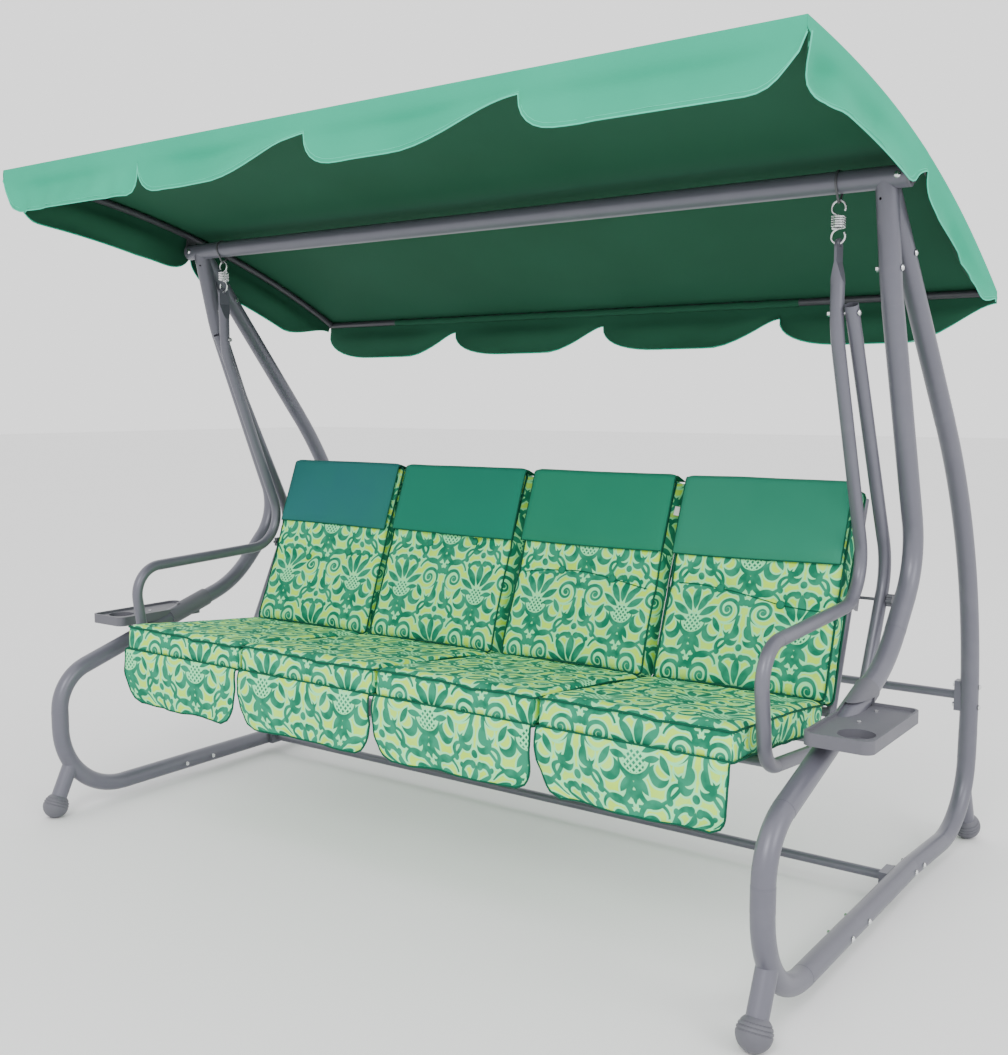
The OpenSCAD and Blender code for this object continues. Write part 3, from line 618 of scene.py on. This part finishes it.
# ---- Sewn channel and covered buttons across each back cushion, in its front face only ----
SEAM_Y = (-0.035, 0.03, -0.03, -0.035)
SEAM_WAVE, SEAM_TURN = 0.02, 9
CHANNEL_DEPTH, CHANNEL_W = 0.012, 0.017
SEAM_LIFT, SEAM_R = 0.0026, 0.0013
SEAM_SHOWN_FROM = 2  # the stitched line shows on this back cushion and those after it
BUTTON_X, BUTTON_R, BUTTON_DOME, BUTTON_LIFT = 0.085, 0.012, 0.006, 0.0045
BUTTON_DENT, BUTTON_DENT_R = 0.010, 0.030
BUTTON_RINGS, BUTTON_SIDES = 5, 20


def seam_at(x, i):
    """How far up back cushion i its sewn channel is at x."""
    return SEAM_Y[i] + SEAM_WAVE * math.sin(SEAM_TURN * x + i)


def press_channel(p, i):
    co = p.points()
    for k, (x, y, z) in enumerate(co):
        if z <= 0:
            continue
        across = math.exp(-(((y - seam_at(x, i)) / CHANNEL_W) ** 2))
        dip = CHANNEL_DEPTH * across * (1 - smooth((abs(x) - 0.20) / 0.04))
        for bx in (-BUTTON_X, BUTTON_X):
            away = math.hypot(x - bx, y - seam_at(bx, i)) / BUTTON_DENT_R
            dip += BUTTON_DENT * math.exp(-(away**2))
        co[k, 2] -= dip
    p.set_points(co)
    return co


def face_height(p, co, column, y):
    """Height of the pad's front face at y, along one column of its grid."""
    points = co[[p.front[column, row] for row in range(p.cells[1] + 1)]]
    return float(np.interp(y, points[:, 1], points[:, 2]))


def stitched_line(p, co, i):
    """The line of stitches, a little above the bottom of the channel."""
    nx, ny = p.cells
    line = []
    for column in range(2, nx - 1):
        x = co[p.front[column, ny // 2], 0]
        y = seam_at(x, i)
        line.append(p.place @ Vector((x, y, face_height(p, co, column, y) + SEAM_LIFT)))
    tube(f"{p.obj.name}_seam", [line], SEAM_R, PIPING, "backrest", cyclic=False)


def covered_button(p, co, i, n, bx):
    """A low dome on the channel."""
    nx, ny = p.cells
    column = min(range(nx + 1), key=lambda c: abs(co[p.front[c, ny // 2], 0] - bx))
    y = seam_at(bx, i)
    z = face_height(p, co, column, y) + BUTTON_LIFT
    pts, quads = [], []
    for a in range(BUTTON_RINGS + 1):
        t = a / BUTTON_RINGS * math.pi / 2
        r = BUTTON_R * math.cos(t)
        for b in range(BUTTON_SIDES):
            f = b / BUTTON_SIDES * 2 * math.pi
            local = Vector((bx + r * math.cos(f), y + r * math.sin(f), z + BUTTON_DOME * math.sin(t)))
            pts.append(p.place @ local)
    for a in range(BUTTON_RINGS):
        low, high = a * BUTTON_SIDES, (a + 1) * BUTTON_SIDES
        for b in range(BUTTON_SIDES):
            c = (b + 1) % BUTTON_SIDES
            quads.append([low + b, low + c, high + c, high + b])
    uv = [[(0.0, 0.0), (0.004, 0.0), (0.004, 0.004), (0.0, 0.004)]] * len(quads)
    uv.append([(0.0, 0.0)] * BUTTON_SIDES)
    quads.append(list(range(BUTTON_SIDES))[::-1])
    button = mesh_object(f"{p.obj.name}_button{n}", pts, quads, MATERIALS["green_fabric"], uv)
    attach(button, "backrest")


for i, p in enumerate(back_pads):
    pressed = press_channel(p, i)
    if i >= SEAM_SHOWN_FROM:
        stitched_line(p, pressed, i)
    covered_button(p, pressed, i, 1, -BUTTON_X)
    covered_button(p, pressed, i, 2, BUTTON_X)

for i, p in enumerate(seat_pads):
    finish_pad(p, "bench", f"seat_cushion_{i + 1}")
for i, p in enumerate(back_pads):
    finish_pad(p, "backrest", f"back_cushion_{i + 1}", stretch=BACK_STRETCH)


# ---- Thin padded pieces swept from a middle surface ----
def padded_sheet(name, nu, nv, mid, thick, material, uv):
    """mid(a, b) gives a point and normal for a, b from 0 to 1; thick(a, b) the thickness there."""
    verts, faces, uvs = [], [], []
    for side in (1, -1):
        for j in range(nv + 1):
            for i in range(nu + 1):
                p, n = mid(i / nu, j / nv)
                verts.append(Vector(p) + Vector(n) * (side * thick(i / nu, j / nv) / 2))
    row, layer = nu + 1, (nu + 1) * (nv + 1)
    for j in range(nv):
        for i in range(nu):
            q = [(i, j), (i + 1, j), (i + 1, j + 1), (i, j + 1)]
            ids = [b * row + a for a, b in q]
            uv4 = [uv(a / nu, b / nv) for a, b in q]
            faces += [ids, [layer + k for k in reversed(ids)]]
            uvs += [uv4, uv4[::-1]]
    rim = rim_of(nu, nv)
    for (i, j), (i2, j2) in zip(rim, rim[1:] + rim[:1]):
        a, b = j * row + i, j2 * row + i2
        faces.append([b, a, layer + a, layer + b])
        uvs.append([uv(i2 / nu, j2 / nv), uv(i / nu, j / nv)] * 2)
    edge = [(verts[j * row + i] + verts[layer + j * row + i]) / 2 for i, j in rim]
    return mesh_object(name, verts, faces, material, uvs), edge


FLAP_W, FLAP_H = PLACE_W - 0.016, 0.145
FLAP_TUCK = 0.010  # the strip that turns back under the cushion's lower front seam
FLAP_LEFT, FLAP_RIGHT = (0.075, 0.115), (0.040, 0.050)  # corner roundings, across and down
FLAP_EDGE_T, FLAP_FILL_T, FLAP_EDGE_W = 0.0015, 0.0055, 0.02
FLAP_BINDING_R = 0.0026


def front_flap(k):
    """A thin padded flap that hangs from its top edge, with b running down it."""
    lo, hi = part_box(f"seat_flap_{k}")
    cx, y0, top = (lo[0] + hi[0]) / 2, (lo[1] + hi[1]) / 2, hi[2]

    def mid(a, b):
        drop = (FLAP_H + FLAP_TUCK) * b - FLAP_TUCK
        ends = []
        for rx, rz in (FLAP_LEFT, FLAP_RIGHT):
            low = min(max(drop - (FLAP_H - rz), 0) / rz, 0.999)
            ends.append(FLAP_W / 2 - rx * (1 - math.sqrt(1 - low * low)))
        x = -ends[0] + a * (ends[0] + ends[1])
        wave = 0.004 * math.sin(9 * a + 1.7 * k) * b
        wave += 0.012 * noise.noise(Vector((a * 3.5, b * 2, k * 4.7))) * smooth(b / 0.5)
        fold = 0.006 * noise.noise(Vector((a * 9 + b * 3, b * 4, k * 2.9))) * smooth(b / 0.3)
        crease = 0.0055 * (1 - smooth(b / 0.10)) + fold
        curl = -0.006 * smooth((b - 0.3) / 0.7)
        return (cx + x, y0 + wave + crease + curl, top - drop), (0, -1, 0)

    def thick(a, b):
        edge_gap = min(min(a, 1 - a) * FLAP_W, (1 - b) * FLAP_H)
        return FLAP_EDGE_T + FLAP_FILL_T * smooth(edge_gap / FLAP_EDGE_W)

    def uv(a, b):
        return (a - 0.5) * FLAP_W + 0.07 * k, 0.02 - b * FLAP_H + 0.18 * (k % 2)

    flap, edge = padded_sheet(f"FrontFlap{k}", 36, 14, mid, thick, MATERIALS["damask_fabric"], uv)
    subdivided(flap)
    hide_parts(f"seat_flap_{k}")
    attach(flap, "bench")
    tube(f"FrontFlap{k}_binding", [edge], FLAP_BINDING_R, PIPING, "bench")


for k in range(1, 5):
    front_flap(k)

# Headrests: Y and Z are measured from the backrest's hinge, in the backrest's own lean
HEAD_T = 0.018
HEAD_W = 0.462
HEAD_FRONT = -0.0125 - 0.0023 - BACK_PAD[2] - 0.0005
HEAD_LOW, HEAD_TOP = 0.412, 0.6205 + 0.0065
HEAD_BEND = 0.012  # bend over the back cushion's upper edge
HEAD_OVER = 0.046  # how far it reaches back over the top
HEAD_EDGE_R = 0.0018
HEAD_CLOTHS = [TEAL, *HEAD_TINTS]
hinge = Vector(next(j for j in record["behaviour"]["joints"] if j["name"] == "backrest_recline")["pos_m"])
BACK = Matrix.Translation(hinge) @ BACK_TILT


def head_path():
    """The middle line in Y and Z: up the front, round the edge and back over the top."""
    front_y = HEAD_FRONT - HEAD_T / 2
    path = [(front_y, HEAD_LOW + t * (HEAD_TOP - HEAD_BEND - HEAD_LOW)) for t in np.linspace(0, 1, 15)]
    for t in np.linspace(0.25, math.pi / 2, 5):
        path.append((front_y + HEAD_BEND * (1 - math.cos(t)), HEAD_TOP - HEAD_BEND + HEAD_BEND * math.sin(t)))
    path += [(front_y + HEAD_BEND + t * HEAD_OVER, HEAD_TOP) for t in np.linspace(0.12, 1, 5)]
    return [Vector((0, y, z)) for y, z in path]


def headrest(k):
    lo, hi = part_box(f"headrest_{k}")
    cx = (lo[0] + hi[0]) / 2
    path = head_path()
    steps = len(path) - 1

    def mid(a, b):
        i = min(int(b * steps), steps - 1)
        p = path[i].lerp(path[i + 1], b * steps - i)
        d = (path[i + 1] - path[i]).normalized()
        n = Vector((0, -d.z, d.y))
        low = 1 - smooth(b / 0.5)
        swell = 0.0022 * noise.noise(Vector((a * 2.6, b * 3, k * 3.9)))
        swell += 0.003 * low * noise.noise(Vector((a * 2, 0.5, k * 8.1)))
        p = p + n * swell
        p = Vector(((a - 0.5) * HEAD_W, p.y, p.z + 0.003 * low * math.sin(3 * a + k)))
        world = BACK @ p
        return (world.x + cx, world.y, world.z), (BACK.to_3x3() @ n)

    def thick(a, b):
        edge_gap = min(min(a, 1 - a) * HEAD_W, b * 0.21, (1 - b) * 0.3)
        t = HEAD_T if b < 0.55 else HEAD_T - 0.006 * smooth((b - 0.55) / 0.3)
        return 0.003 + (t - 0.005) * smooth(edge_gap / 0.016) ** 0.5

    def uv(a, b):
        return a * 0.49, b * 0.3

    head, edge = padded_sheet(f"Headrest{k}", 34, 40, mid, thick, HEAD_CLOTHS[k - 1], uv)
    subdivided(head)
    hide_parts(f"headrest_{k}")
    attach(head, "backrest")
    tube(f"Headrest{k}_edge", [edge], HEAD_EDGE_R, PIPING, "backrest")


for k in range(1, 5):
    headrest(k)


# ---- Canopy: one sheet, its top an arc from front to rear, with scalloped valances on all four sides ----
def arc_centre(a, b, r):
    a, b = np.array(a), np.array(b)
    h, d = np.linalg.norm(b - a) / 2, (b - a) / np.linalg.norm(b - a)
    return (a + b) / 2 + math.sqrt(r * r - h * h) * np.array([d[1], -d[0]])


ARC_C = arc_centre(CANOPY_FRONT, CANOPY_REAR, CANOPY_R)
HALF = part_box("canopy_fabric")[1][0]
A_FRONT = math.atan2(CANOPY_FRONT[1] - ARC_C[1], CANOPY_FRONT[0] - ARC_C[0])
A_REAR = math.atan2(CANOPY_REAR[1] - ARC_C[1], CANOPY_REAR[0] - ARC_C[0])
ARC_LEN = CANOPY_R * (A_FRONT - A_REAR)
RIDGE_T = (RIDGE_Y - CANOPY_FRONT[0]) / (CANOPY_REAR[0] - CANOPY_FRONT[0])
ROWS = 9  # cells down a valance
STITCH_IN = 0.009  # the stitches' distance from the hem
HEM_R, STITCH_R = 0.0016, 0.0006
RAIL_ZONE, RAIL_FADE = 0.030, 0.035  # no inward billow over the rails, fading in below them
PUSH_MAX = 0.016
SLIT = 0.028  # how far the front corners' edges draw back from each other
GATHER_END = 0.25  # the front hem is gathered up to here from its left end
# for each side: how far in from its two ends each lobe is at full depth, the way out, a seed for the
# folds, and whether its faces are turned round
EDGES = {
    "front": (((0.16, 0.08), (0.16, 0.55), (0.18, 0.55), (0.18, 0.15)), Vector((0, -1, 0)), 1.3, False),
    "rear": (((0.3, 0.4),) * 4, Vector((0, 1, 0)), 2.9, True),
    "left": (((0.20, 0.16), (0.16, 0.3)), Vector((-1, 0, 0)), 4.2, True),
    "right": (((0.10, 0.22), (0.16, 0.3)), Vector((1, 0, 0)), 5.6, False),
}


def lobe_steps(lobes, per):
    """Steps from 0 to 1, closest together where the lobes meet."""
    out = []
    for n in range(lobes):
        out += [(n + 0.5 - 0.5 * math.cos(math.pi * k / per)) / lobes for k in range(per)]
    return out + [1.0]


def lobe_depth(t, lobes):
    """Depth of a scalloped valance at t from 0 to 1 along its edge."""
    n = min(int(t * len(lobes)), len(lobes) - 1)
    s = t * len(lobes) - n
    rise, fall = lobes[n]
    left = CORNER_NOTCH if n == 0 else NOTCH
    right = CORNER_NOTCH if n == len(lobes) - 1 else NOTCH
    f = (1 - max(1 - s / rise, 0) ** ROUND) ** (1 / ROUND)
    if fall < SHORT_FALL:
        g = (1 - max(1 - (1 - s) / fall, 0) ** ROUND) ** (1 / ROUND)
    else:
        g = smooth((1 - s) / fall) ** 0.8
    return left + (VALANCE - left) * f if s < 0.5 else right + (VALANCE - right) * g


def canopy_top(s, t):
    """Point and outward normal: s from left to right, t from front to rear."""
    a = A_FRONT + (A_REAR - A_FRONT) * t
    n = Vector((0, math.cos(a), math.sin(a)))
    half = HALF - 0.003 - 0.005 * (1 - smooth(t / 0.45))
    x = (2 * s - 1) * half
    sag = 0.005 * math.sin(math.pi * t) * (1 - abs(2 * s - 1) ** 4)
    inner = smooth(min(s, 1 - s) / 0.05) * smooth(min(t, 1 - t) / 0.08)
    sag += 0.006 * inner * noise.noise(Vector((s * 5, t * 4, 2.2)))
    r = CANOPY_R - 0.002 - sag
    return Vector((x, ARC_C[0] + r * n.y, ARC_C[1] + r * n.z)), n


def billow(side, low, frac, t, seed, lobes):
    """How far a valance's point stands out of its plane: low metres down, frac of the way to the hem."""
    s = t * lobes - int(min(t * lobes, lobes - 1))
    push = math.sin(math.pi * s) * (0.028 * frac * frac - 0.022 * math.sin(math.pi * frac))
    push += 0.007 * math.cos(2 * math.pi * s + seed) * frac * frac
    soft = noise.noise(Vector((t * lobes * 3.2 + frac * 0.9, frac * 0.8, seed * 7.7)))
    fine = noise.noise(Vector((t * lobes * 9, frac * 1.2, seed * 3.3)))
    push += (0.014 * soft + 0.006 * fine) * frac**1.2
    if side == "front" and t < GATHER_END:
        gathered = smooth((frac - 0.35) / 0.5) * smooth(t / 0.05) * smooth((GATHER_END - t) / 0.04)
        push += 0.010 * math.sin(t * 150) * gathered
    if side == "right":  # the front end hangs turned in, in a soft fold
        push -= 0.030 * (1 - smooth(t / 0.17)) * smooth((low - CORNER_NOTCH) / 0.08)
        push -= 0.016 * math.exp(-(((t - 0.085) / 0.045) ** 2)) * math.sin(math.pi * min(frac * 1.1, 1))
        push += 0.008 * noise.noise(Vector((t * 22, frac * 1.5, 4.4))) * frac
    # it never hangs into the rails behind its top edge or the pivot bolts
    if push < 0:
        push *= smooth((low - RAIL_ZONE) / RAIL_FADE)
        if side in ("left", "right"):
            push *= 1 - 0.9 * math.exp(-(((t - RIDGE_T) / 0.07) ** 2))
    return min(push, PUSH_MAX)


def slit_shift(side, low, t):
    """The front corner slits open downwards."""
    spread = smooth((low - CORNER_NOTCH) / 0.07)
    if side == "front":
        left, right = 0.015 * smooth((0.10 - t) / 0.10), SLIT * smooth((t - 0.90) / 0.10)
        return Vector((spread * (left - right), 0, 0))
    if side in ("left", "right"):
        return Vector((0, spread * SLIT * (1 - smooth(t / 0.12)), 0))
    return Vector((0, 0, 0))


xs, ys = lobe_steps(4, 24), lobe_steps(2, 36)


def top_edge(side):
    """Grid keys along one side of the top, their places from 0 to 1, and the side's length."""
    if side in ("front", "rear"):
        row = 0 if side == "front" else len(ys) - 1
        return [(i, row) for i in range(len(xs))], xs, 2 * HALF
    column = 0 if side == "left" else len(xs) - 1
    return [(column, j) for j in range(len(ys))], ys, ARC_LEN


def canopy_mesh():
    """The sheet, and the lines of its hem and stitches on each side."""
    verts, faces, uvs, top_ids = [], [], [], {}
    for j, t in enumerate(ys):
        for i, s in enumerate(xs):
            p, n = canopy_top(s, t)
            rim = min(min(s, 1 - s) * 2 * HALF, min(t, 1 - t) * ARC_LEN)
            top_ids[i, j] = len(verts)
            verts.append(p - n * 0.005 * (1 - smooth(rim / 0.02)))
    for j in range(len(ys) - 1):
        for i in range(len(xs) - 1):
            q = [(i, j), (i + 1, j), (i + 1, j + 1), (i, j + 1)]
            faces.append([top_ids[k] for k in q])
            uvs.append([(xs[a] * 2 * HALF, ys[b] * ARC_LEN) for a, b in q])

    hems, stitches = [], []
    for side, (lobes, out, seed, flip) in EDGES.items():
        keys, ts, length = top_edge(side)
        grid = [[top_ids[k] for k in keys]]
        depths = [lobe_depth(t, lobes) for t in ts]
        for r in range(1, ROWS + 1):
            frac = r / ROWS
            row = []
            for k, t, depth in zip(keys, ts, depths):
                top = verts[top_ids[k]]
                down = Vector((0, 0, -1)) if side in ("front", "rear") else -canopy_top(xs[k[0]], ys[k[1]])[1]
                low = depth * frac
                push = billow(side, low, frac, t, seed, len(lobes))
                row.append(len(verts))
                verts.append(top + slit_shift(side, low, t) + down * depth * frac + out * push)
            grid.append(row)
        for r in range(ROWS):
            for c in range(len(ts) - 1):
                ids = [grid[r][c], grid[r + 1][c], grid[r + 1][c + 1], grid[r][c + 1]]
                corners = ((c, r), (c, r + 1), (c + 1, r + 1), (c + 1, r))
                uv4 = [(ts[a] * length, -depths[a] * b / ROWS) for a, b in corners]
                faces.append(ids[::-1] if flip else ids)
                uvs.append(uv4[::-1] if flip else uv4)
        hems.append([Vector(verts[k]) for k in grid[-1]])
        line = []
        for above, below, depth in zip(grid[-2], grid[-1], depths):
            up = min(STITCH_IN / max(depth / ROWS, 1e-4), 0.95)
            line.append(Vector(verts[below]).lerp(Vector(verts[above]), up))
        stitches.append(line)
    # the inner faces get the darker underside green, which is painted shade
    cloths = [MATERIALS["canopy_fabric"], SHADED_UNDERSIDE]
    return mesh_object("CanopyFabric", verts, faces, cloths, uvs), hems, stitches


canopy, hem_lines, stitch_lines = canopy_mesh()
sol = canopy.modifiers.new("Thickness", "SOLIDIFY")
sol.thickness = CLOTH_T
sol.offset = -1
sol.material_offset = 1
sol.material_offset_rim = 0
subdivided(canopy)
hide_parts("canopy_fabric")
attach(canopy, "canopy")
hem = tube("CanopyHem", hem_lines, HEM_R, HEM, "canopy", cyclic=False)
stitch = tube("CanopyStitching", stitch_lines, STITCH_R, HEM, "canopy", cyclic=False)

SLEEVE_ENDS = (-0.86, 0.66)
SLEEVE_R = 0.0112
SLEEVE_STEPS = 60


def rail_sleeve(name, a, b):
    """Fabric tunnel sewn round a length of canopy rail, with slack."""
    pts = []
    for k in range(SLEEVE_STEPS + 1):
        slack = Vector((0, -0.0004, -0.0010 + 0.0006 * math.sin(k * 1.7)))
        pts.append(Vector(a).lerp(Vector(b), k / SLEEVE_STEPS) + slack)
    # the sleeve's dark green is the canopy's painted shade
    tube(name, [pts], SLEEVE_R, SHADED_UNDERSIDE, "canopy", cyclic=False)


rear_rail = centre("canopy_rear_rail")
rail_sleeve("CanopySleeveRear", *((x, rear_rail.y, rear_rail.z) for x in SLEEVE_ENDS))


# ---- Blank sewn-in label ----
def label(name, corner, across, down, body, frame_matrix):
    """A small curled tag, sewn in along its upper edge."""
    nu, nv = 8, 5
    row = nu + 1
    pts, quads = [], []
    for j in range(nv + 1):
        for i in range(row):
            curl = Vector((0.0025 * math.sin(2.5 * i / nu), -0.002 * (j / nv) ** 2, 0))
            flat_point = Vector(corner) + Vector(across) * (i / nu) + Vector(down) * (j / nv)
            pts.append(frame_matrix @ (flat_point + curl))
    for j in range(nv):
        for i in range(nu):
            quads.append([j * row + i, j * row + i + 1, (j + 1) * row + i + 1, (j + 1) * row + i])
    uvs = [[(c % row * 0.004, c // row * 0.004) for c in q] for q in quads]
    o = mesh_object(name, pts, quads, TAG, uvs)
    thick = o.modifiers.new("Thickness", "SOLIDIFY")
    thick.thickness = 0.0008
    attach(o, body)


gusset_x = centre("back_cushion_3").x + PLACE_W / 2
label_corner = (gusset_x - 0.012, HEAD_FRONT + 0.012, 0.545)
label("LabelSmall", label_corner, (0.016, 0.010, 0), (0, 0, -0.026), "backrest", BACK)

# ---- Floor, light and camera ----
FLOOR_HALF = 40.0
WORLD_LIGHT = 1.6
CAMERA_PLACE = (1.9982, -2.7588, 1.2394)
CAMERA_DOWN, CAMERA_TURN = 6.01, 35.54  # degrees below level, and round from straight ahead
CAMERA_LENS = 40.89

corners = [(sx * FLOOR_HALF, sy * FLOOR_HALF, 0) for sx, sy in ((-1, -1), (1, -1), (1, 1), (-1, 1))]
floor_mesh = bpy.data.meshes.new("Floor")
floor_mesh.from_pydata(corners, [], [(0, 1, 2, 3)])
floor = bpy.data.objects.new("Floor", floor_mesh)
scene.collection.objects.link(floor)
floor_mat, t, bsdf = new_material("PaleFloor", rough=0.75)
tc = t.nodes.new("ShaderNodeTexCoord").outputs["Object"]
pale = mix(t, noise_at(t, tc, 0.6, 2.0) * 0.5, (0.86, 0.86, 0.86), (0.90, 0.90, 0.90))
t.links.new(pale, bsdf.inputs["Base Color"])
floor_mesh.materials.append(floor_mat)


def area_light(name, place, target, size, power):
    la = bpy.data.lights.new(name, "AREA")
    la.shape = "DISK"
    la.size = size
    la.energy = power
    o = bpy.data.objects.new(name, la)
    o.location = place
    o.rotation_euler = (Vector(target) - Vector(place)).to_track_quat("-Z", "Y").to_euler()
    scene.collection.objects.link(o)


area_light("Key", (1.6, -5.0, 4.4), (0, -0.2, 1.1), 2.4, 150)
area_light("Fill", (5.2, -1.2, 3.0), (0.6, 0, 1.0), 2.4, 70)
world = bpy.data.worlds.new("Studio")
scene.world = world
world.use_nodes = True
world.node_tree.nodes["Background"].inputs["Color"].default_value = (1, 1, 1, 1)
world.node_tree.nodes["Background"].inputs["Strength"].default_value = WORLD_LIGHT

cam = bpy.data.cameras.new("Camera")
cam.sensor_width = 36
cam.lens = CAMERA_LENS
cam.clip_end = 100
camera = bpy.data.objects.new("Camera", cam)
camera.location = CAMERA_PLACE
camera.rotation_euler = (math.radians(90 - CAMERA_DOWN), 0, math.radians(CAMERA_TURN))
scene.collection.objects.link(camera)
scene.camera = camera
